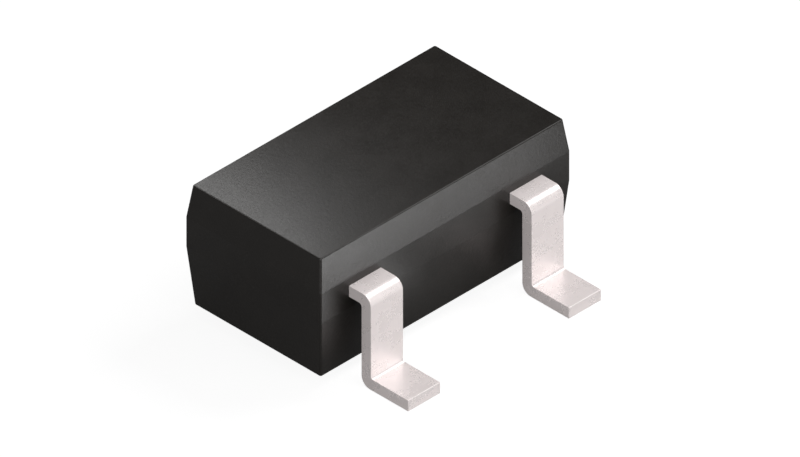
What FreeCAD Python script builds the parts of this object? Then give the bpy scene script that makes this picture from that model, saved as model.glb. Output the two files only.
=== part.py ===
import FreeCAD, Part
import math
import os

# Three-lead supervisor chip in a moulded body with gull-wing leads. Millimetres.
# Frame: +X along the body, +Y towards the single lead, +Z up. The origin is under the
# middle of the body, on the plane that the three feet stand on.

# Moulded body
body_length = 2.95  # at the upright land, end to end
body_width = 1.60  # at the upright land, side to side
body_height = 1.22  # underside to top face
stand_off = 0.12  # gap under the body
upper_band = 0.325  # drafted wall above the land
land_band = 0.30  # upright wall that the leads leave through
upper_draft = 7.2  # degrees off upright
lower_draft = 5.1  # degrees off upright
corner_radius = 0.02  # the four upright corners
rim_radius = 0.012  # round the top face and the underside

# Formed leads
lead_thickness = 0.115
lead_width = 0.38
lead_pitch = 1.90  # between the two leads that share a side
lead_drop = 0.075  # top of the land down to the top of the lead
lead_reach = 0.26  # side of the body to the outer face of the upright run
foot_length = 0.44  # outer face of the upright run to the tip
bend_outer_radius = 0.10  # a forming tool pinches the corner, so this is under
bend_inner_radius = 0.03  # the inner radius plus the thickness

# Leadframe inside the body
post_setback = 0.14  # side of the body to the bond post
post_depth = 0.30  # bond post, across the body
post_length = 0.68  # bond post, along the body
post_flare = 0.06  # how far the post stands out past the lead's outer edge
frame_gap = 0.12  # stamped gap between the posts and the die pad
pad_length = 1.28  # die pad, along the body
pad_wall = 0.30  # compound between the die pad and the far side
frame_corner_radius = 0.04
anchor_hole_radius = 0.07

# Chip and adhesive
die_end_margin = 0.32  # die pad left bare at each end of the chip
die_side_margin = 0.11  # die pad left bare along each side of the chip
attach_thickness = 0.02
attach_spread = 0.04  # how far the adhesive runs out from under the chip

# Bond wires
wire_radius = 0.0125
wire_rise = 0.10  # top of the chip to the crown of the loop
wire_cover = 0.12  # compound over the crown of the loop
wire_seat = 0.009  # height of the wire's centreline where it lies on the metal
ball_radius = 0.036
ball_disc_height = 0.009  # the part of the ball that the tool flattens
ball_height = 0.02
ball_neck_radius = 0.0175
ball_inset = 0.07  # middle of the ball to the chip's edge
down_bond_inset = 0.13  # middle of the third ball to the chip's far side
crown_share = 0.4  # of the wire's span, spent before it starts down
crown_kink = 0.035  # rise and run of the kink that turns the wire over
heel_length = 0.035  # wire that lies on the metal ahead of the stitch
stitch_length = 0.08
stitch_width = 0.06
stitch_height = 0.007
stitch_inset = 0.14  # middle of the stitch to the end of the post or pad it is on

# Heights that follow from the sizes above
body_bottom = stand_off
body_top = body_bottom + body_height
land_top = body_top - upper_band
land_bottom = land_top - land_band
lead_top = land_top - lead_drop
lead_bottom = lead_top - lead_thickness
die_bottom = lead_top + attach_thickness
die_top = body_top - wire_cover - wire_rise  # the wafer is ground to leave this
wire_crown = die_top + wire_rise - wire_radius

# Places along and across the body that follow from the sizes above
side = body_width / 2
lead_x = lead_pitch / 2
upright_outer = side + lead_reach
upright_inner = upright_outer - lead_thickness
tip = upright_outer + foot_length
post_front = side - post_setback
post_back = post_front - post_depth
post_middle = -(post_front + post_back) / 2
post_outer_x = lead_x + lead_width / 2 + post_flare
post_inner_x = post_outer_x - post_length
pad_front = post_back - frame_gap
pad_back = side - pad_wall
pad_depth = pad_front + pad_back
pad_middle = (pad_back - pad_front) / 2
die_length = pad_length - 2 * die_end_margin
die_width = pad_depth - 2 * die_side_margin
die_front = pad_middle - die_width / 2

ORIGIN = FreeCAD.Vector(0, 0, 0)
UP = FreeCAD.Vector(0, 0, 1)
MOST_OF_A_RUN = 0.48  # what one rounded corner may use of the run beside it
MITRED = 1  # a sweep that keeps its corners sharp


def corner_arc(radius, before, corner, after):
    """Start, middle and end of the arc that rounds one corner."""
    into = (corner - before).normalize()
    out = (after - corner).normalize()
    half_turn = into.getAngle(out) / 2
    shorter_run = min(before.distanceToPoint(corner), after.distanceToPoint(corner))
    cut = min(radius * math.tan(half_turn), MOST_OF_A_RUN * shorter_run)
    start, end = corner - into * cut, corner + out * cut
    inward = (out - into).normalize()
    sagitta = cut * math.cos(half_turn) * math.tan(half_turn / 2)
    middle = (start + end) * 0.5 - inward * sagitta
    return start, middle, end


def rounded_outline(points):
    """A closed outline: straight runs joined by arcs. Each point is (position, radius)."""
    arcs = []
    for i, (corner, radius) in enumerate(points):
        before, after = points[i - 1][0], points[(i + 1) % len(points)][0]
        if radius:
            arcs.append(corner_arc(radius, before, corner, after))
        else:
            arcs.append((corner, None, corner))
    edges = []
    for (_, _, last), (start, middle, end) in zip([arcs[-1], *arcs], arcs):
        edges.append(Part.LineSegment(last, start).toShape())
        if middle:
            edges.append(Part.Arc(start, middle, end).toShape())
    return Part.Wire(edges)


def plate(left, right, front, back):
    """A flat stamped piece of the leadframe with rounded corners."""
    corners = [(left, front), (right, front), (right, back), (left, back)]
    points = [(FreeCAD.Vector(x, y, lead_bottom), frame_corner_radius) for x, y in corners]
    return Part.Face(rounded_outline(points)).extrude(UP * lead_thickness)


def anchored(lead, x, y):
    """The lead with the punched hole that the compound fills, which locks it in."""
    foot = FreeCAD.Vector(x, y, lead_bottom)
    return lead.cut(Part.makeCylinder(anchor_hole_radius, lead_thickness, foot, UP))


def formed_strip(inner_end):
    """The gull-wing strip, bent from its side profile, on the -Y side at x = 0."""
    outer, inner = bend_outer_radius, bend_inner_radius
    profile = [
        (inner_end, lead_top, 0),
        (upright_outer, lead_top, outer),
        (upright_outer, lead_thickness, inner),
        (tip, lead_thickness, 0),
        (tip, 0, 0),
        (upright_inner, 0, outer),
        (upright_inner, lead_bottom, inner),
        (inner_end, lead_bottom, 0),
    ]
    left = -lead_width / 2
    corners = [(FreeCAD.Vector(left, -reach, z), r) for reach, z, r in profile]
    face = Part.Face(rounded_outline(corners))
    return face.extrude(FreeCAD.Vector(lead_width, 0, 0))


def lead_with_post(mirrored):
    """Lead 2, or lead 1 when mirrored: the formed strip and its bond post."""
    post = plate(post_inner_x, post_outer_x, -post_front, -post_back)
    strip = formed_strip(post_front - frame_corner_radius)
    strip.translate(FreeCAD.Vector(lead_x, 0, 0))
    lead = anchored(post.fuse(strip).removeSplitter(), lead_x, post_middle)
    if mirrored:
        lead = lead.mirror(ORIGIN, FreeCAD.Vector(1, 0, 0))
    return lead


def lead_with_pad():
    """Lead 3: the strip turned to the +Y side, and the pad that carries the chip."""
    pad = plate(-pad_length / 2, pad_length / 2, -pad_front, pad_back)
    strip = formed_strip(pad_back - frame_corner_radius)
    strip.rotate(ORIGIN, UP, 180)
    neck_middle = (pad_back + side) / 2
    return anchored(pad.fuse(strip).removeSplitter(), 0, neck_middle)


def rectangle(length, width, z, centre_y=0):
    """A closed rectangle, centred on x = 0."""
    x, y = length / 2, width / 2
    corners = [(-x, -y), (x, -y), (x, y), (-x, y), (-x, -y)]
    return Part.makePolygon([FreeCAD.Vector(a, centre_y + b, z) for a, b in corners])


def supervisor_die():
    """The silicon chip, sawn square."""
    corner = FreeCAD.Vector(-die_length / 2, die_front, die_bottom)
    return Part.makeBox(die_length, die_width, die_top - die_bottom, corner)


def die_attach():
    """The adhesive film, which spreads out from under the chip onto the pad."""
    spread = 2 * attach_spread
    foot = rectangle(die_length + spread, die_width + spread, lead_top, pad_middle)
    top = rectangle(die_length, die_width, die_bottom, pad_middle)
    return Part.makeLoft([foot, top], True, True)


def bond_ball(centre):
    """The flattened disc and the cone that the bonding tool leaves, turned on its axis."""
    profile = [
        (0, 0),
        (ball_radius, 0),
        (ball_radius, ball_disc_height),
        (ball_neck_radius, ball_height),
        (0, ball_height),
        (0, 0),
    ]
    outline = Part.makePolygon([FreeCAD.Vector(r, 0, z) for r, z in profile])
    ball = Part.Face(outline).revolve(ORIGIN, UP, 360)
    ball.translate(centre)
    return ball


def round_section(centre, direction):
    """The wire's own section, square to its direction."""
    return Part.Wire(Part.Circle(centre, direction, wire_radius).toShape())


def pressed_section(centre, ahead):
    """The section at the end of a stitch, squashed wide and thin."""
    edge_of_width = centre + UP.cross(ahead) * (stitch_width / 2)
    edge_of_height = centre + UP * stitch_height
    return Part.Wire(Part.Ellipse(edge_of_width, edge_of_height, centre).toShape())


def bond_wire(ball, stitch):
    """Ball on the chip, looped wire, and stitch pressed flat on the leadframe."""
    start = FreeCAD.Vector(*ball, 0)
    run = FreeCAD.Vector(*stitch, 0) - start
    ahead = FreeCAD.Vector(run).normalize()
    heel = run.Length - stitch_length / 2
    landing = heel - heel_length
    lying = lead_top + wire_seat

    def along(distance, height):
        return start + ahead * distance + UP * height

    route = [
        along(0, die_top + ball_disc_height),
        along(0, wire_crown - crown_kink),
        along(crown_kink, wire_crown),
        along(crown_share * landing, wire_crown),
        along(landing, lying),
        along(heel, lying),
    ]
    path = Part.makePolygon(route)
    tube = path.makePipeShell([round_section(route[0], UP)], True, False, MITRED)
    wire_end = round_section(along(heel, lying), ahead)
    stitch_end = pressed_section(along(heel + stitch_length, lead_top), ahead)
    fishtail = Part.makeLoft([wire_end, stitch_end], True, True)
    wire = tube.fuse([fishtail, bond_ball(along(0, die_top))]).removeSplitter()
    return wire.cut(pad_space(run.Length))


def pad_space(size):
    """The metal under a stitch, as a block that trims the wire flush with it."""
    corner = FreeCAD.Vector(-body_length, -body_width, lead_top - size)
    return Part.makeBox(2 * body_length, 2 * body_width, size, corner)


def bond_wires():
    """Two wires to the posts of leads 1 and 2, and one down to the die pad."""
    ball_x = die_length / 2 - ball_inset
    ball_y = die_front + ball_inset
    stitch_x = post_inner_x + stitch_inset
    down_y = die_front + die_width - down_bond_inset
    down_x = pad_length / 2 - stitch_inset
    return {
        "bond_wire_1": bond_wire((-ball_x, ball_y), (-stitch_x, post_middle)),
        "bond_wire_2": bond_wire((ball_x, ball_y), (stitch_x, post_middle)),
        "bond_wire_3": bond_wire((ball_x, down_y), (down_x, down_y)),
    }


def body_section(inset, z):
    """The body's outline at one height: a rectangle with rounded corners."""
    x, y = body_length / 2 - inset, body_width / 2 - inset
    corners = [(-x, -y), (x, -y), (x, y), (-x, y)]
    points = [(FreeCAD.Vector(a, b, z), corner_radius) for a, b in corners]
    return rounded_outline(points)


def moulded_shell():
    """The outside of the body: land, two drafted walls and softened rims."""
    upper_inset = upper_band * math.tan(math.radians(upper_draft))
    lower_inset = (land_bottom - body_bottom) * math.tan(math.radians(lower_draft))
    sections = [
        body_section(lower_inset, body_bottom),
        body_section(0, land_bottom),
        body_section(0, land_top),
        body_section(upper_inset, body_top),
    ]
    body = Part.makeLoft(sections, True, True)
    rims = []
    for edge in body.Edges:
        heights = {round(v.Z, 6) for v in edge.Vertexes}
        if heights in ({round(body_bottom, 6)}, {round(body_top, 6)}):
            rims.append(edge)
    return body.makeFillet(rim_radius, rims)


def moulded_body(inner_pieces):
    """The compound flows round everything that the mould holds."""
    return moulded_shell().cut(inner_pieces)


def main():
    pieces = {
        "lead_1": lead_with_post(True),
        "lead_2": lead_with_post(False),
        "lead_3": lead_with_pad(),
        "die_attach": die_attach(),
        "supervisor_die": supervisor_die(),
        **bond_wires(),
    }
    pieces["moulded_body"] = moulded_body(list(pieces.values()))
    os.makedirs("parts", exist_ok=True)
    for name, shape in pieces.items():
        solid = shape.Solids[0]
        print(f"{name}: {len(shape.Solids)} solid, valid {shape.isValid()}, {solid.Volume:.5f}")
        shape.exportStep(f"parts/{name}.step")


main()
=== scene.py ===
"""Three-lead supervisor chip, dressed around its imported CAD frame.

The frame's bodies stay as they are. Formed leads and bond wires are made afresh with
smooth bends, the moulded body, the chip and its adhesive keep their CAD nodes, and every
piece gets a finish made of nodes. Lengths are metres unless a name says otherwise.
"""

import math

import bpy
from mathutils import Matrix, Vector


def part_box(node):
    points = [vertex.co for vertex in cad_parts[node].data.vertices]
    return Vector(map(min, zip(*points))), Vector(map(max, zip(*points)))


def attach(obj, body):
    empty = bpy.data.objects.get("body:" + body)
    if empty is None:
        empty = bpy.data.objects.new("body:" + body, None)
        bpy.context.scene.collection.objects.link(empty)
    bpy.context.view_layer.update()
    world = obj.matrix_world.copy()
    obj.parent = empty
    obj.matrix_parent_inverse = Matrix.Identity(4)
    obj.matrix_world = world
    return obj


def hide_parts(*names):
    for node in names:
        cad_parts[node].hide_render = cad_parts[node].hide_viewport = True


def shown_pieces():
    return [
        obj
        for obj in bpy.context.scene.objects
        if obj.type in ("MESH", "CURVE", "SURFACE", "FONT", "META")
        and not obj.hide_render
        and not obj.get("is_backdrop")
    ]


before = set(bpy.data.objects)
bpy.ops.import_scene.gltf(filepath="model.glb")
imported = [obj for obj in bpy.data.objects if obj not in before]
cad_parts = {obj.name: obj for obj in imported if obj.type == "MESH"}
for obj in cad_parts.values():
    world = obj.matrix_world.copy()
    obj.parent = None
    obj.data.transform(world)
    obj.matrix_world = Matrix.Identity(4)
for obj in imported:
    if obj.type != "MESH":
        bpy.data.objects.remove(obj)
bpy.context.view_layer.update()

bl_info = {
    "name": "Supervisor Chip",
    "version": (1, 0, 0),
    "blender": (4, 5, 0),
    "location": "View3D > Sidebar > Chip",
    "description": "Finishes a moulded three-lead chip: body, formed leads, die, bond wires and stage",
    "category": "Object",
}

MM = 0.001
MICRON = 1e-6
ONLY_BODY = "root"  # nothing moves, so the frame has one body

# The CAD nodes that the finished pieces are fitted to
BODY_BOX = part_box("moulded_body")
POST_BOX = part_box("lead_2")
PAD_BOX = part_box("lead_3")
DIE_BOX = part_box("supervisor_die")
WIRE_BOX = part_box("bond_wire_2")
DOWN_WIRE_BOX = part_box("bond_wire_3")

LEAD_TOP = POST_BOX[1].z
LEAD_TIP = -POST_BOX[0].y
DIE_TOP = DIE_BOX[1].z

NECK_INSET = 0.02 * MM  # how deep in the body the formed strip starts
PAD_WALL = 0.30 * MM  # compound between the body's side and the die pad

# Shaping values of the trees, in millimetres where they are lengths
WELD = 1e-4  # points nearer than this become one
JOINT_REACH = 1e-3  # faces this near the neck close the two halves of a lead
BEND_STEPS = 10
CORNER_STEPS = 6
HOLE_SIDES = 40
WIRE_SIDES = 20
WIRE_CORNER = 0.05  # radius where the wire turns over the ball and at its landing
WIRE_STEP = 0.0025  # distance between the rings of the wire's tube
WIRE_SEAT = 0.8  # middle of a wire that lies on metal, in wire radii above it
HEEL = 0.035  # wire that lies on the metal ahead of its stitch
CREST_SHARE = 0.4  # of the way to the landing, before the wire starts down
BALL_FULL = 0.4  # share of the ball's height over which it keeps its full width
BALL_ROUNDING = 0.004  # height over which the ball's lower rim draws in
BALL_FOOT = 0.86  # width of the ball where it meets the chip, as a share of its own

EDGE_STEPS = 3
EDGE_ANGLE = math.radians(35)  # an edge that turns more than this is softened

# Numbers of the Mix node's two colour inputs and of its colour output
COLOUR_A = 6
COLOUR_B = 7
COLOUR_OUT = 2

# Most values of a noise lie between these
NOISE_LOW = 0.3
NOISE_HIGH = 0.7

FLOOR_HALF = 60 * MM
# Where the camera stands from the origin, to its own right, up and back
CAMERA_PLACE = (0.1855 * MM, 0.4546 * MM, 30 * MM)


def length(name, description, default, **limits):
    """A length in metres that a user may change."""
    return bpy.props.FloatProperty(
        name=name,
        description=description,
        default=default,
        precision=6,
        unit="LENGTH",
        subtype="DISTANCE",
        **limits,
    )


def share(name, description, default):
    """A number from 0 to 1 that a user may change."""
    return bpy.props.FloatProperty(
        name=name,
        description=description,
        default=default,
        min=0.0,
        max=1.0,
        subtype="FACTOR",
    )


def colour(name, description, default):
    """A linear colour that a user may change."""
    return bpy.props.FloatVectorProperty(
        name=name,
        description=description,
        default=default,
        size=3,
        min=0.0,
        max=1.0,
        subtype="COLOR",
    )


class LeadSizes(bpy.types.PropertyGroup):
    """Sizes of the stamped and formed leads."""

    strip_width: length("Strip width", "Width of the formed strip", 0.38 * MM)
    thickness: length("Thickness", "Thickness of the leadframe metal", 0.115 * MM)
    pitch: length("Pitch", "Distance between the two near leads", 1.90 * MM)
    reach: length("Reach", "Side of the body to the face of the upright run", 0.26 * MM)
    outer_bend: length("Outer bend", "Radius on the outside of a bend", 0.10 * MM)
    inner_bend: length("Inner bend", "Radius on the inside of a bend", 0.03 * MM)
    edge: length("Edge", "Softening of the stamped edges", 0.009 * MM)
    post_depth: length("Post depth", "Bond post, measured across the body", 0.30 * MM)
    frame_corner: length("Frame corner", "Corner radius of posts and pad", 0.04 * MM)
    anchor_hole: length("Anchor hole", "Radius of the locking holes", 0.07 * MM)


class WireSizes(bpy.types.PropertyGroup):
    """Sizes of the bond wires."""

    radius: length("Wire radius", "Radius of the gold wire", 0.0125 * MM)
    ball_radius: length("Ball radius", "Radius of the ball on the chip", 0.036 * MM)
    ball_height: length("Ball height", "Height of the ball and its neck", 0.02 * MM)
    stitch_length: length("Stitch length", "Length of the pressed end", 0.08 * MM)
    stitch_width: length("Stitch width", "Width of the pressed end", 0.06 * MM)
    stitch_height: length("Stitch height", "Thickness of the pressed end", 0.007 * MM)
    stitch_inset: length("Stitch inset", "Stitch to the end of its metal", 0.14 * MM)
    bend: length("Loop bend", "Largest radius in the loop of wire", 0.16 * MM)


class Finishes(bpy.types.PropertyGroup):
    """Colours and roughness of the materials."""

    compound: colour("Compound", "Black moulding compound", (0.0110, 0.0094, 0.0080))
    compound_roughness: share("Compound roughness", "Matt to glossy mould skin", 0.34)
    tin: colour("Tin", "Tin plate on the leads", (0.87, 0.80, 0.79))
    tin_roughness: share("Tin roughness", "Satin to bright plate", 0.28)
    silicon: colour("Silicon", "Polished chip", (0.17, 0.18, 0.22))
    adhesive: colour("Adhesive", "Silver-filled adhesive", (0.62, 0.60, 0.57))
    gold: colour("Gold", "Bond wire", (0.95, 0.70, 0.32))


class StageSettings(bpy.types.PropertyGroup):
    """Floor, lamps and camera."""

    floor: colour("Floor", "Pale floor under the part", (0.50, 0.50, 0.50))
    whiteness: share("Whiteness", "White light that the backdrop adds where the camera sees it", 0.895)
    mirrored_whiteness: share("Mirrored whiteness", "The same, where a shiny face mirrors it", 0.06)
    surround: bpy.props.FloatProperty(
        name="Surround", description="Level of light from all round", default=0.05, min=0.0
    )
    view_width: length("View width", "What the picture spans", 6.686 * MM)


class Net:
    """Adds nodes to one tree and joins them, with one call for each node."""

    def __init__(self, tree):
        self.tree = tree

    def node(self, kind, values=(), **settings):
        """A new node. Keys of values are the names or the numbers of its inputs."""
        made = self.tree.nodes.new(kind)
        for name, value in settings.items():
            setattr(made, name, value)
        for key, value in dict(values).items():
            if isinstance(value, bpy.types.NodeSocket):
                self.tree.links.new(value, made.inputs[key])
            else:
                made.inputs[key].default_value = value
        return made

    def out(self, kind, values=(), **settings):
        """The first output of a new node."""
        return self.node(kind, values, **settings).outputs[0]

    def math(self, operation, first, second=0.0):
        """One sum, for instance ADD or MULTIPLY."""
        return self.out("ShaderNodeMath", {0: first, 1: second}, operation=operation)

    def xyz(self, x=0.0, y=0.0, z=0.0):
        """A vector from three numbers."""
        return self.out("ShaderNodeCombineXYZ", {0: x, 1: y, 2: z})

    def ramp(self, value, low, high, start=0.0, end=1.0, soft=False):
        """Value between low and high, moved to between start and end."""
        kind = "SMOOTHSTEP" if soft else "LINEAR"
        inputs = {
            "Value": value,
            "From Min": low,
            "From Max": high,
            "To Min": start,
            "To Max": end,
        }
        return self.out("ShaderNodeMapRange", inputs, interpolation_type=kind)


def scaled(base, factor):
    """A colour made darker or lighter, with full alpha."""
    return [min(1.0, c * factor) for c in base] + [1.0]


class Finish(Net):
    """A material built from nodes around one Principled BSDF."""

    def __init__(self, name):
        self.material = bpy.data.materials.new(name)
        self.material.use_nodes = True
        super().__init__(self.material.node_tree)
        self.shader = self.tree.nodes["Principled BSDF"]
        self.here = self.node("ShaderNodeTexCoord").outputs["Object"]

    def set(self, **values):
        """Sets or joins inputs of the shader, named with _ for a space."""
        for name, value in values.items():
            socket = self.shader.inputs[name.replace("_", " ")]
            if isinstance(value, bpy.types.NodeSocket):
                self.tree.links.new(value, socket)
            else:
                socket.default_value = value

    def grain(self, size, stretch=(1, 1, 1), detail=2.0, roughness=0.5):
        """Noise whose features are about size long, drawn out along an axis by stretch."""
        scale = [1.0 / (size * s) for s in stretch]
        place = self.out("ShaderNodeMapping", {"Vector": self.here, "Scale": scale})
        values = {"Vector": place, "Scale": 1.0, "Detail": detail, "Roughness": roughness}
        return self.out("ShaderNodeTexNoise", values)

    def tinted(self, base, pattern, spread):
        """The base colour, darker and lighter by spread along the pattern."""
        dark = scaled(base, 1 - spread)
        light = scaled(base, 1 + spread)
        return self.mixed(self.ramp(pattern, NOISE_LOW, NOISE_HIGH), dark, light)

    def mixed(self, part, first, second):
        """The first colour where part is 0, and the second where it is 1."""
        values = {"Factor": part, COLOUR_A: first, COLOUR_B: second}
        return self.node("ShaderNodeMix", values, data_type="RGBA").outputs[COLOUR_OUT]

    def cells(self, size, randomness=1.0, distance="EUCLIDEAN"):
        """Distance to the nearest of points that lie about size apart."""
        values = {"Vector": self.here, "Scale": 1 / size, "Randomness": randomness}
        return self.out("ShaderNodeTexVoronoi", values, feature="F1", distance=distance)

    def relief(self, height, depth):
        """A bump of that depth in metres."""
        values = {"Height": height, "Distance": depth, "Strength": 1.0}
        return self.out("ShaderNodeBump", values)


def compound_finish(finishes):
    """Black epoxy: the spark-eroded skin of the mould, with fine filler in it."""
    made = Finish("mould_compound")
    skin = made.grain(26 * MICRON, detail=3.0, roughness=0.6)
    clouds = made.grain(260 * MICRON, detail=3.0)
    filler = made.cells(34 * MICRON)
    speck = made.ramp(filler, 0.10, 0.24, 1.0, 0.0, soft=True)
    body = made.tinted(finishes.compound, clouds, 0.10)
    filler_colour = scaled(finishes.compound, 1.6)
    filler_strength = made.math("MULTIPLY", speck, 0.35)
    sheen = made.math("ADD", skin, made.math("MULTIPLY", clouds, 0.5))
    mean, spread = finishes.compound_roughness, 0.05
    made.set(
        Base_Color=made.mixed(filler_strength, body, filler_colour),
        Roughness=made.ramp(sheen, 0.5, 1.0, mean - spread, mean + spread),
        Normal=made.relief(skin, 1.3 * MICRON),
    )
    return made.material


def tin_finish(finishes):
    """Satin tin plate: rolling lines along the strip under a fine crystal grain."""
    made = Finish("tin_plate")
    rolled = made.grain(7 * MICRON, stretch=(1, 30, 30), detail=2.0)
    crystals = made.grain(11 * MICRON, detail=2.0, roughness=0.6)
    clouds = made.grain(180 * MICRON, detail=2.0)
    texture = made.math("ADD", made.math("MULTIPLY", rolled, 0.6), crystals)
    haze = made.math("ADD", clouds, made.math("MULTIPLY", crystals, 0.4))
    mean, spread = finishes.tin_roughness, 0.04
    made.set(
        Base_Color=made.tinted(finishes.tin, clouds, 0.02),
        Metallic=0.3,
        Roughness=made.ramp(haze, 0.45, 0.95, mean - spread, mean + spread),
        Normal=made.relief(texture, 0.12 * MICRON),
    )
    return made.material


def silicon_finish(finishes):
    """The chip: sawn sides, and a passivated face over rows of circuit blocks."""
    made = Finish("silicon")
    blocks = made.cells(45 * MICRON, randomness=0.6, distance="CHEBYCHEV")
    saw = made.grain(5 * MICRON, stretch=(8, 8, 1))
    made.set(
        Base_Color=made.tinted(finishes.silicon, blocks, 0.35),
        Metallic=0.35,
        Roughness=made.ramp(saw, NOISE_LOW, NOISE_HIGH, 0.16, 0.30),
        Normal=made.relief(made.math("ADD", blocks, saw), 0.4 * MICRON),
    )
    return made.material


def adhesive_finish(finishes):
    """Cured adhesive full of silver flakes."""
    made = Finish("die_adhesive")
    flakes = made.cells(9 * MICRON)
    made.set(
        Base_Color=made.tinted(finishes.adhesive, flakes, 0.15),
        Metallic=0.45,
        Roughness=made.ramp(flakes, 0.0, 0.8, 0.30, 0.55),
        Normal=made.relief(flakes, 1.0 * MICRON),
    )
    return made.material


def gold_finish(finishes):
    """Drawn gold wire with faint die lines."""
    made = Finish("gold_wire")
    lines = made.grain(2.5 * MICRON, stretch=(6, 6, 1))
    clouds = made.grain(40 * MICRON)
    made.set(
        Base_Color=made.tinted(finishes.gold, clouds, 0.06),
        Metallic=1.0,
        Roughness=made.ramp(lines, NOISE_LOW, NOISE_HIGH, 0.18, 0.28),
        Normal=made.relief(lines, 0.12 * MICRON),
    )
    return made.material


class Shaper(Net):
    """A Geometry Nodes tree with named inputs. It works in millimetres."""

    def __init__(self, name, sizes):
        super().__init__(bpy.data.node_groups.new(name, "GeometryNodeTree"))
        face = self.tree.interface
        self.sockets = {}
        for label in sizes:
            self.sockets[label] = face.new_socket(
                name=label, in_out="INPUT", socket_type="NodeSocketFloat"
            ).identifier
        self.sockets["Material"] = face.new_socket(
            name="Material", in_out="INPUT", socket_type="NodeSocketMaterial"
        ).identifier
        face.new_socket(name="Geometry", in_out="OUTPUT", socket_type="NodeSocketGeometry")
        self.given = self.node("NodeGroupInput").outputs
        self.index = self.out("GeometryNodeInputIndex")

    def pick(self, kind, choices):
        """A value for each point, by the point's number."""
        made = self.node("GeometryNodeIndexSwitch", data_type=kind)
        while len(made.index_switch_items) < len(choices):
            made.index_switch_items.new()
        self.tree.links.new(self.index, made.inputs["Index"])
        for i, value in enumerate(choices):
            socket = made.inputs[i + 1]
            if isinstance(value, bpy.types.NodeSocket):
                self.tree.links.new(value, socket)
            else:
                socket.default_value = value
        return made.outputs[0]

    def line(self, corners, segments, closed):
        """A curve through corners, each one (place, radius of its bend)."""
        values = {"Count": len(corners), "Position": self.pick("VECTOR", [c for c, _ in corners])}
        points = self.out("GeometryNodePoints", values)
        curve = self.out("GeometryNodePointsToCurves", {"Points": points, "Weight": self.index})
        curve = self.out("GeometryNodeSetSplineCyclic", {0: curve, "Cyclic": closed})
        values = {
            "Curve": curve,
            "Count": segments,
            "Radius": self.pick("FLOAT", [r for _, r in corners]),
            "Limit Radius": True,
        }
        return self.out("GeometryNodeFilletCurve", values, mode="POLY")

    def join(self, *parts):
        """Several geometries as one."""
        made = self.node("GeometryNodeJoinGeometry")
        for part in reversed(parts):
            self.tree.links.new(part, made.inputs[0])
        return made.outputs[0]

    def welded(self, geometry):
        """The geometry with points that lie on each other made one."""
        values = {"Geometry": geometry, "Distance": WELD}
        return self.out("GeometryNodeMergeByDistance", values)

    def slab(self, outlines, thickness):
        """The filled outlines as a closed slab, from z = 0 up."""
        face = self.out("GeometryNodeFillCurve", {"Curve": outlines}, mode="NGONS")
        values = {"Mesh": face, "Offset": (0, 0, 1), "Offset Scale": thickness, "Individual": False}
        raised = self.out("GeometryNodeExtrudeMesh", values, mode="FACES")
        under = self.out("GeometryNodeFlipFaces", {"Mesh": face})
        return self.welded(self.join(raised, under))

    def circle(self, sides, radius):
        """A round curve in the floor plane."""
        values = {"Resolution": sides, "Radius": radius}
        return self.out("GeometryNodeCurvePrimitiveCircle", values, mode="RADIUS")

    def from_one(self, part, value):
        """A factor that goes from 1 to value as part goes from 0 to 1."""
        more = self.math("SUBTRACT", value, 1.0)
        return self.math("ADD", 1.0, self.math("MULTIPLY", part, more))

    def place_parts(self):
        """The x, y and z of each point."""
        place = self.out("GeometryNodeInputPosition")
        return self.node("ShaderNodeSeparateXYZ", {0: place}).outputs

    def moved(self, geometry, place, turn=(0, 0, 0)):
        """The geometry turned, then moved."""
        values = {"Geometry": geometry, "Translation": place, "Rotation": turn}
        return self.out("GeometryNodeTransform", values)

    def finish(self, geometry):
        """Ends the tree with real geometry in the given material."""
        smooth = self.out("GeometryNodeSetShadeSmooth", {"Geometry": geometry})
        real = self.out("GeometryNodeRealizeInstances", {"Geometry": smooth})
        values = {"Geometry": real, "Material": self.given["Material"]}
        done = self.out("GeometryNodeSetMaterial", values)
        self.node("NodeGroupOutput", {0: done})

    def make(self, name, sizes, material, edge=0.0):
        """A piece with those sizes, as a plain mesh in metres."""
        blank = bpy.data.objects.new(name + "_blank", bpy.data.meshes.new(name + "_blank"))
        bpy.context.scene.collection.objects.link(blank)
        modifier = blank.modifiers.new("shape", "NODES")
        modifier.node_group = self.tree
        for label, value in sizes.items():
            modifier[self.sockets[label]] = float(value)
        modifier[self.sockets["Material"]] = material
        if edge:
            bevel = blank.modifiers.new("edges", "BEVEL")
            bevel.width = edge
            bevel.segments = EDGE_STEPS
            bevel.limit_method = "ANGLE"
            bevel.angle_limit = EDGE_ANGLE
            bevel.harden_normals = True
        graph = bpy.context.evaluated_depsgraph_get()
        mesh = bpy.data.meshes.new_from_object(blank.evaluated_get(graph))
        bpy.data.objects.remove(blank)
        if not mesh.polygons:
            raise RuntimeError(f"{name} came out with no faces")
        mesh.transform(Matrix.Scale(MM, 4))
        mesh.name = name
        mesh.materials.clear()
        mesh.materials.append(material)
        piece = bpy.data.objects.new(name, mesh)
        bpy.context.scene.collection.objects.link(piece)
        return piece


LEAD_INPUTS = (
    "Width",
    "Thickness",
    "Top",
    "Neck",
    "Upright face",
    "Tip",
    "Outer bend",
    "Inner bend",
    "Plate near",
    "Plate far",
    "Plate left",
    "Plate right",
    "Plate corner",
    "Hole place",
    "Hole radius",
    "Place",
    "Turn",
)


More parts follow.
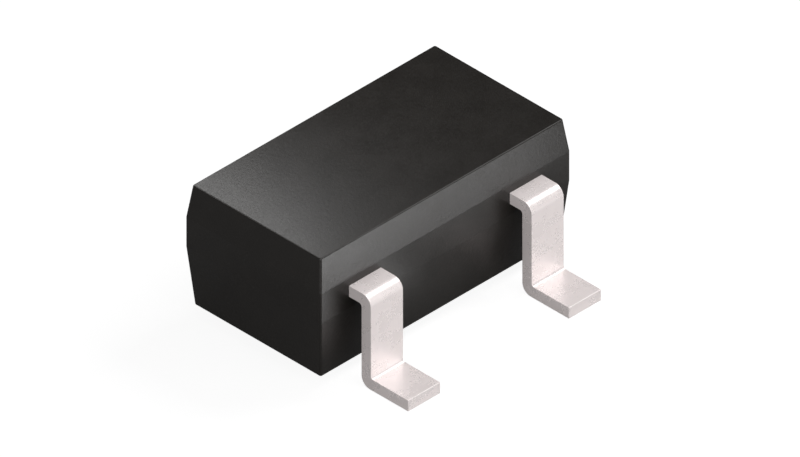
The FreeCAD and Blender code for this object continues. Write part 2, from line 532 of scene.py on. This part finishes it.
def lead_tree():
    """A leadframe finger: a flat stamped plate that runs out into a gull-wing strip."""
    made = Shaper("formed_lead", LEAD_INPUTS)
    get = made.given
    turned = ("Neck", "Upright face", "Tip", "Plate near", "Plate far", "Hole place")
    minus = {label: made.math("MULTIPLY", get[label], -1.0) for label in turned}
    half = made.math("MULTIPLY", get["Width"], 0.5)
    minus_half = made.math("MULTIPLY", get["Width"], -0.5)
    under = made.math("SUBTRACT", get["Top"], get["Thickness"])
    upright_back = made.math("ADD", minus["Upright face"], get["Thickness"])
    outer, inner = get["Outer bend"], get["Inner bend"]
    profile = [
        (made.xyz(minus["Neck"], get["Top"]), 0.0),
        (made.xyz(minus["Upright face"], get["Top"]), outer),
        (made.xyz(minus["Upright face"], get["Thickness"]), inner),
        (made.xyz(minus["Tip"], get["Thickness"]), 0.0),
        (made.xyz(minus["Tip"], 0.0), 0.0),
        (made.xyz(upright_back, 0.0), outer),
        (made.xyz(upright_back, under), inner),
        (made.xyz(minus["Neck"], under), 0.0),
    ]
    strip = made.slab(made.line(profile, BEND_STEPS, True), get["Width"])
    quarter = math.pi / 2
    strip = made.moved(strip, made.xyz(minus_half), (quarter, 0, quarter))

    corner = get["Plate corner"]
    plan = [
        (made.xyz(minus_half, minus["Neck"]), 0.0),
        (made.xyz(half, minus["Neck"]), 0.0),
        (made.xyz(half, minus["Plate near"]), 0.0),
        (made.xyz(get["Plate right"], minus["Plate near"]), corner),
        (made.xyz(get["Plate right"], minus["Plate far"]), corner),
        (made.xyz(get["Plate left"], minus["Plate far"]), corner),
        (made.xyz(get["Plate left"], minus["Plate near"]), corner),
        (made.xyz(minus_half, minus["Plate near"]), 0.0),
    ]
    circle = made.circle(HOLE_SIDES, get["Hole radius"])
    hole = made.moved(circle, made.xyz(0.0, minus["Hole place"]))
    plate = made.slab(made.join(made.line(plan, CORNER_STEPS, True), hole), get["Thickness"])
    plate = made.moved(plate, made.xyz(0.0, 0.0, under))

    # The faces where strip and plate meet go, and the open rims are welded
    both = made.join(strip, plate)
    off_joint = made.math("ABSOLUTE", made.math("ADD", made.place_parts()["Y"], get["Neck"]))
    at_joint = made.math("LESS_THAN", off_joint, JOINT_REACH)
    values = {"Geometry": both, "Selection": at_joint}
    opened = made.out("GeometryNodeDeleteGeometry", values, domain="FACE")
    turn = made.xyz(0.0, 0.0, get["Turn"])
    made.finish(made.moved(made.welded(opened), made.xyz(get["Place"]), turn))
    return made


def in_mm(sizes):
    """The same lengths in millimetres."""
    return {label: value / MM for label, value in sizes.items()}


def mirrored_plate(sizes):
    """The same lead with its plate the other way round."""
    left, right = sizes["Plate left"], sizes["Plate right"]
    return {**sizes, "Plate left": -right, "Plate right": -left, "Place": -sizes["Place"]}


def lead_sizes(leads):
    """The inputs of the three leads in millimetres, by the node that each replaces."""
    side = BODY_BOX[1].y
    strip_x = leads.pitch / 2
    post_far = -POST_BOX[1].y
    post_near = post_far + leads.post_depth
    common = {
        "Width": leads.strip_width,
        "Thickness": leads.thickness,
        "Top": LEAD_TOP,
        "Neck": side - NECK_INSET,
        "Upright face": side + leads.reach,
        "Tip": LEAD_TIP,
        "Outer bend": leads.outer_bend,
        "Inner bend": leads.inner_bend,
        "Plate corner": leads.frame_corner,
        "Hole radius": leads.anchor_hole,
    }
    post = {
        **common,
        "Plate near": post_near,
        "Plate far": post_far,
        "Plate left": POST_BOX[0].x - strip_x,
        "Plate right": POST_BOX[1].x - strip_x,
        "Hole place": (post_near + post_far) / 2,
        "Place": strip_x,
    }
    pad_near = side - PAD_WALL
    pad = {
        **common,
        "Plate near": pad_near,
        "Plate far": PAD_BOX[0].y,
        "Plate left": PAD_BOX[0].x,
        "Plate right": PAD_BOX[1].x,
        "Hole place": (pad_near + side) / 2,
        "Place": 0.0,
    }
    return {
        "lead_1": {**in_mm(mirrored_plate(post)), "Turn": 0.0},
        "lead_2": {**in_mm(post), "Turn": 0.0},
        "lead_3": {**in_mm(pad), "Turn": math.pi},
    }


WIRE_INPUTS = (
    "Radius",
    "Ball radius",
    "Ball height",
    "Stitch length",
    "Stitch width",
    "Stitch height",
    "Bend",
    "Span",
    "Die top",
    "Loop top",
    "Metal",
    "Place X",
    "Place Y",
    "Turn",
)


def wire_tree():
    """A bond wire: ball on the chip, loop, and stitch pressed flat on the metal."""
    made = Shaper("bond_wire", WIRE_INPUTS)
    get = made.given
    lying = made.math("ADD", get["Metal"], made.math("MULTIPLY", get["Radius"], WIRE_SEAT))
    heel = made.math("SUBTRACT", get["Span"], made.math("MULTIPLY", get["Stitch length"], 0.5))
    landing = made.math("SUBTRACT", heel, HEEL)
    end = made.math("ADD", heel, get["Stitch length"])
    crest = made.math("MULTIPLY", landing, CREST_SHARE)
    route = [
        (made.xyz(0.0, 0.0, get["Die top"]), 0.0),
        (made.xyz(0.0, 0.0, get["Loop top"]), WIRE_CORNER),
        (made.xyz(crest, 0.0, get["Loop top"]), get["Bend"]),
        (made.xyz(landing, 0.0, lying), WIRE_CORNER),
        (made.xyz(end, 0.0, lying), 0.0),
    ]
    values = {"Curve": made.line(route, BEND_STEPS, False), "Length": WIRE_STEP}
    loop = made.out("GeometryNodeResampleCurve", values, mode="LENGTH")
    gone = made.node("GeometryNodeSplineParameter").outputs["Length"]
    full_to = made.math("MULTIPLY", get["Ball height"], BALL_FULL)
    ball_width = made.math("DIVIDE", get["Ball radius"], get["Radius"])
    ball_over = made.ramp(gone, full_to, get["Ball height"], ball_width, 1.0, soft=True)
    rounded = made.ramp(gone, 0.0, BALL_ROUNDING, BALL_FOOT, 1.0, soft=True)
    values = {
        "Curve": loop,
        "Profile Curve": made.circle(WIRE_SIDES, get["Radius"]),
        "Scale": made.math("MULTIPLY", ball_over, rounded),
        "Fill Caps": True,
    }
    tube = made.out("GeometryNodeCurveToMesh", values)

    # Past the heel the wire gets wider and lower, down to the stitch's own section
    parts = made.place_parts()
    along, across, up = parts["X"], parts["Y"], parts["Z"]
    pressed = made.ramp(along, heel, end, 0.0, 1.0, soft=True)
    round_width = made.math("MULTIPLY", get["Radius"], 2.0)
    round_height = made.math("MULTIPLY", get["Radius"], 1.0 + WIRE_SEAT)
    wider = made.from_one(pressed, made.math("DIVIDE", get["Stitch width"], round_width))
    lower = made.from_one(pressed, made.math("DIVIDE", get["Stitch height"], round_height))
    over_metal = made.math("MAXIMUM", made.math("SUBTRACT", up, get["Metal"]), 0.0)
    new_up = made.math("ADD", get["Metal"], made.math("MULTIPLY", over_metal, lower))
    moved = made.xyz(along, made.math("MULTIPLY", across, wider), new_up)
    shaped = made.out("GeometryNodeSetPosition", {"Geometry": tube, "Position": moved})
    turn = made.xyz(0.0, 0.0, get["Turn"])
    there = made.xyz(get["Place X"], get["Place Y"])
    made.finish(made.moved(made.welded(shaped), there, turn))
    return made


def wire_sizes(leads, wires):
    """The inputs of the three wires in millimetres, by the node that each replaces."""
    post_middle = POST_BOX[1].y - leads.post_depth / 2
    stitch_x = POST_BOX[0].x + wires.stitch_inset
    ball_x = WIRE_BOX[0].x + wires.ball_radius
    ball_y = WIRE_BOX[1].y - wires.ball_radius
    down_y = (DOWN_WIRE_BOX[0].y + DOWN_WIRE_BOX[1].y) / 2
    ends = {
        "bond_wire_1": ((-ball_x, ball_y), (-stitch_x, post_middle)),
        "bond_wire_2": ((ball_x, ball_y), (stitch_x, post_middle)),
        "bond_wire_3": ((ball_x, down_y), (PAD_BOX[1].x - wires.stitch_inset, down_y)),
    }
    made = {}
    for name, (ball, stitch) in ends.items():
        run = Vector(stitch) - Vector(ball)
        sizes = {
            "Radius": wires.radius,
            "Ball radius": wires.ball_radius,
            "Ball height": wires.ball_height,
            "Stitch length": wires.stitch_length,
            "Stitch width": wires.stitch_width,
            "Stitch height": wires.stitch_height,
            "Bend": wires.bend,
            "Span": run.length,
            "Die top": DIE_TOP,
            "Loop top": WIRE_BOX[1].z - wires.radius,
            "Metal": LEAD_TOP,
            "Place X": ball[0],
            "Place Y": ball[1],
        }
        made[name] = {**in_mm(sizes), "Turn": math.atan2(run.y, run.x)}
    return made


def stand_in(piece, node):
    """Makes a finished piece stand for the CAD node that it replaces."""
    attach(piece, ONLY_BODY)
    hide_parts(node)


def dress(node, material):
    """Gives a CAD node its finish."""
    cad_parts[node].data.materials[0] = material


class CHIP_OT_body(bpy.types.Operator):
    """Finish the moulded body"""

    bl_idname = "chip.body"
    bl_label = "Moulded Body"

    def execute(self, context):
        dress("moulded_body", compound_finish(context.scene.chip_finishes))
        return {"FINISHED"}


class CHIP_OT_leads(bpy.types.Operator):
    """Stamp, form and plate the three leads"""

    bl_idname = "chip.leads"
    bl_label = "Formed Leads"

    def execute(self, context):
        leads = context.scene.chip_leads
        plate = tin_finish(context.scene.chip_finishes)
        tree = lead_tree()
        for node, sizes in lead_sizes(leads).items():
            name = f"formed_{node}"
            piece = tree.make(name, sizes, plate, edge=leads.edge / MM)
            stand_in(piece, node)
        return {"FINISHED"}


class CHIP_OT_die(bpy.types.Operator):
    """Finish the silicon chip"""

    bl_idname = "chip.die"
    bl_label = "Silicon Chip"

    def execute(self, context):
        dress("supervisor_die", silicon_finish(context.scene.chip_finishes))
        return {"FINISHED"}


class CHIP_OT_adhesive(bpy.types.Operator):
    """Finish the adhesive under the chip"""

    bl_idname = "chip.adhesive"
    bl_label = "Die Adhesive"

    def execute(self, context):
        dress("die_attach", adhesive_finish(context.scene.chip_finishes))
        return {"FINISHED"}


class CHIP_OT_wires(bpy.types.Operator):
    """Bond the gold wires"""

    bl_idname = "chip.wires"
    bl_label = "Bond Wires"

    def execute(self, context):
        gold = gold_finish(context.scene.chip_finishes)
        tree = wire_tree()
        sizes = wire_sizes(context.scene.chip_leads, context.scene.chip_wires)
        for node, values in sizes.items():
            piece = tree.make(f"looped_{node}", values, gold)
            stand_in(piece, node)
        return {"FINISHED"}


LEVEL_X, LEVEL_Y = (1, 0, 0), (0, 1, 0)
ALL, PART, BODY, LEADS = "all", "part", "body", "leads"

# Each lamp has a name, a place, a point that it faces, the direction of its width,
# its width and height, its brightness, and what it lights. Lengths are millimetres.
# The close panels, glows and strips show as sheen on the black walls. They light the
# body alone, because they would mark the floor and turn the leads plain white. The lead
# panel repeats the front panel for the leads alone, because so much light on the floor
# would lift the dark lower walls.
LAMPS = (
    ("right_panel", (10.0, -3.0, 12.5), (0.0, 0.0, 0.6), LEVEL_Y, 9.0, 8.0, 3.1, ALL),
    ("front_panel", (2.0, -15.0, 5.0), (0.0, 0.0, 0.6), LEVEL_X, 12.0, 7.0, 1.5, ALL),
    ("lead_panel", (2.0, -15.0, 5.0), (0.0, 0.0, 0.6), LEVEL_X, 12.0, 7.0, 3.9, LEADS),
    ("side_panel", (-14.0, -5.0, 2.5), (0.0, 0.0, 0.5), LEVEL_Y, 8.0, 4.0, 6.2, ALL),
    ("over_panel", (-2.0, -11.0, 13.0), (0.0, 0.0, 0.6), LEVEL_X, 18.0, 12.0, 2.2, PART),
    ("top_panel", (0.0, 0.0, 14.0), (0.0, 0.0, 0.0), LEVEL_X, 18.0, 18.0, 0.8, PART),
    ("rear_panel", (-4.0, 12.0, 10.0), (0.0, 0.0, 0.6), LEVEL_X, 12.0, 8.0, 1.7, PART),
    ("back_panel", (-0.1, 2.1, 3.1), (-1.6, 0.4, 1.3), LEVEL_Y, 2.4, 0.9, 3.4, BODY),
    ("wide_panel", (0.5, 2.3, 3.5), (-1.2, 0.0, 1.3), LEVEL_Y, 3.6, 2.0, 0.5, BODY),
    ("left_glow", (0.1, -3.75, 0.02), (0.1, -3.75, 5.0), LEVEL_X, 1.8, 2.1, 6.4, BODY),
    ("right_glow", (2.1, -3.75, 0.02), (2.1, -3.75, 5.0), LEVEL_X, 2.2, 2.1, 3.6, BODY),
    ("near_strip", (-0.5, -1.70, 0.02), (-0.5, -1.70, 5.0), LEVEL_X, 1.4, 0.7, 1.9, BODY),
    ("far_strip", (1.6, -2.25, 0.02), (1.6, -2.25, 5.0), LEVEL_X, 1.8, 0.5, 1.0, BODY),
)


def backdrop_finish(stage):
    """Pale floor that shows near white behind the part and keeps its shadow."""
    material = bpy.data.materials.new("pale_floor")
    material.use_nodes = True
    net = Net(material.node_tree)
    net.tree.nodes.clear()
    path = net.node("ShaderNodeLightPath").outputs
    mirrored = net.math("MAXIMUM", path["Is Glossy Ray"], path["Is Transmission Ray"])
    mirrored = net.math("MULTIPLY", mirrored, stage.mirrored_whiteness)
    seen = net.math("MULTIPLY", path["Is Camera Ray"], stage.whiteness)
    lift = net.math("MAXIMUM", seen, mirrored)
    lit = net.out("ShaderNodeBsdfDiffuse", {"Color": (*stage.floor, 1.0)})
    white = net.out("ShaderNodeEmission", {"Color": (1, 1, 1, 1), "Strength": lift})
    mixed = net.out("ShaderNodeAddShader", {0: lit, 1: white})
    behind = net.node("ShaderNodeNewGeometry").outputs["Backfacing"]
    from_below = net.math("MULTIPLY", behind, path["Is Camera Ray"])
    clear = net.out("ShaderNodeBsdfTransparent")
    mixed = net.out("ShaderNodeMixShader", {0: from_below, 1: mixed, 2: clear})
    net.node("ShaderNodeOutputMaterial", {"Surface": mixed})
    return material


def surround_world(stage):
    """Even light from all round, and plain white where the camera sees past the floor."""
    world = bpy.data.worlds.new("surround")
    world.use_nodes = True
    net = Net(world.node_tree)
    net.tree.nodes.clear()
    path = net.node("ShaderNodeLightPath").outputs
    even = net.out("ShaderNodeBackground", {"Color": (1, 1, 1, 1), "Strength": stage.surround})
    white = net.out("ShaderNodeBackground", {"Color": (1, 1, 1, 1), "Strength": 1.0})
    mixed = net.out("ShaderNodeMixShader", {0: path["Is Camera Ray"], 1: even, 2: white})
    net.node("ShaderNodeOutputWorld", {"Surface": mixed})
    return world


def lay_floor(stage):
    """The floor that the feet stand on."""
    half = FLOOR_HALF
    corners = [(-half, -half, 0), (half, -half, 0), (half, half, 0), (-half, half, 0)]
    mesh = bpy.data.meshes.new("floor")
    mesh.from_pydata(corners, [], [(0, 1, 2, 3)])
    mesh.materials.append(backdrop_finish(stage))
    floor = bpy.data.objects.new("floor", mesh)
    bpy.context.scene.collection.objects.link(floor)
    floor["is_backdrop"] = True


def lit_by_lamps():
    """What a lamp may light: all there is, the whole part, its body alone, or its leads."""
    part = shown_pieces()
    leads = [piece for piece in part if piece.name.startswith("formed_lead")]
    groups = {PART: part, BODY: [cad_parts["moulded_body"]], LEADS: leads}
    lit = {ALL: None}
    for name, pieces in groups.items():
        lit[name] = bpy.data.collections.new(name)
        for piece in pieces:
            lit[name].objects.link(piece)
    return lit


def hang_lamps():
    """Soft panels, each at the brightness that its face shows."""
    lit = lit_by_lamps()
    for name, place, facing, along, width, height, brightness, lights in LAMPS:
        lamp = bpy.data.lights.new(name, "AREA")
        lamp.shape = "RECTANGLE"
        lamp.size = width * MM
        lamp.size_y = height * MM
        lamp.energy = brightness * math.pi * lamp.size * lamp.size_y
        piece = bpy.data.objects.new(name, lamp)
        piece.location = Vector(place) * MM
        away = (Vector(place) - Vector(facing)).normalized()
        up = away.cross(Vector(along)).normalized()
        turn = Matrix((up.cross(away), up, away)).transposed()
        piece.rotation_euler = turn.to_euler()
        piece.visible_camera = False
        piece.light_linking.receiver_collection = lit[lights]
        bpy.context.scene.collection.objects.link(piece)


def set_camera(stage):
    """Straight-on isometric view, as in the photograph."""
    camera = bpy.data.cameras.new("camera")
    camera.type = "ORTHO"
    camera.ortho_scale = stage.view_width
    camera.clip_start = 0.1 * MM
    camera.clip_end = 1.0
    piece = bpy.data.objects.new("camera", camera)
    bpy.context.scene.collection.objects.link(piece)
    back = Vector((-1, -1, 1)).normalized()
    right = Vector((1, -1, 0)).normalized()
    up = back.cross(right)
    piece.location = Matrix((right, up, back)).transposed() @ Vector(CAMERA_PLACE)
    piece.rotation_euler = (-back).to_track_quat("-Z", "Y").to_euler()
    bpy.context.scene.camera = piece


class CHIP_OT_stage(bpy.types.Operator):
    """Lay the floor, hang the lamps and set up the camera"""

    bl_idname = "chip.stage"
    bl_label = "Stage"

    def execute(self, context):
        stage = context.scene.chip_stage
        lay_floor(stage)
        hang_lamps()
        context.scene.world = surround_world(stage)
        set_camera(stage)
        context.scene.view_settings.view_transform = "Standard"
        return {"FINISHED"}


class CHIP_PT_panel(bpy.types.Panel):
    """The steps that make the part, in order"""

    bl_idname = "CHIP_PT_panel"
    bl_label = "Supervisor Chip"
    bl_space_type = "VIEW_3D"
    bl_region_type = "UI"
    bl_category = "Chip"

    def draw(self, context):
        for step in STEPS:
            self.layout.operator(step.bl_idname)


STEPS = (
    CHIP_OT_body,
    CHIP_OT_leads,
    CHIP_OT_die,
    CHIP_OT_adhesive,
    CHIP_OT_wires,
    CHIP_OT_stage,
)
GROUPS = {
    "chip_leads": LeadSizes,
    "chip_wires": WireSizes,
    "chip_finishes": Finishes,
    "chip_stage": StageSettings,
}
CLASSES = (*GROUPS.values(), *STEPS, CHIP_PT_panel)


def register():
    for made in CLASSES:
        bpy.utils.register_class(made)
    for name, group in GROUPS.items():
        setattr(bpy.types.Scene, name, bpy.props.PointerProperty(type=group))


def unregister():
    for name in GROUPS:
        delattr(bpy.types.Scene, name)
    for made in reversed(CLASSES):
        bpy.utils.unregister_class(made)


def main():
    register()
    bpy.ops.chip.body()
    bpy.ops.chip.leads()
    bpy.ops.chip.die()
    bpy.ops.chip.adhesive()
    bpy.ops.chip.wires()
    bpy.ops.chip.stage()


if __name__ == "__main__":
    main()
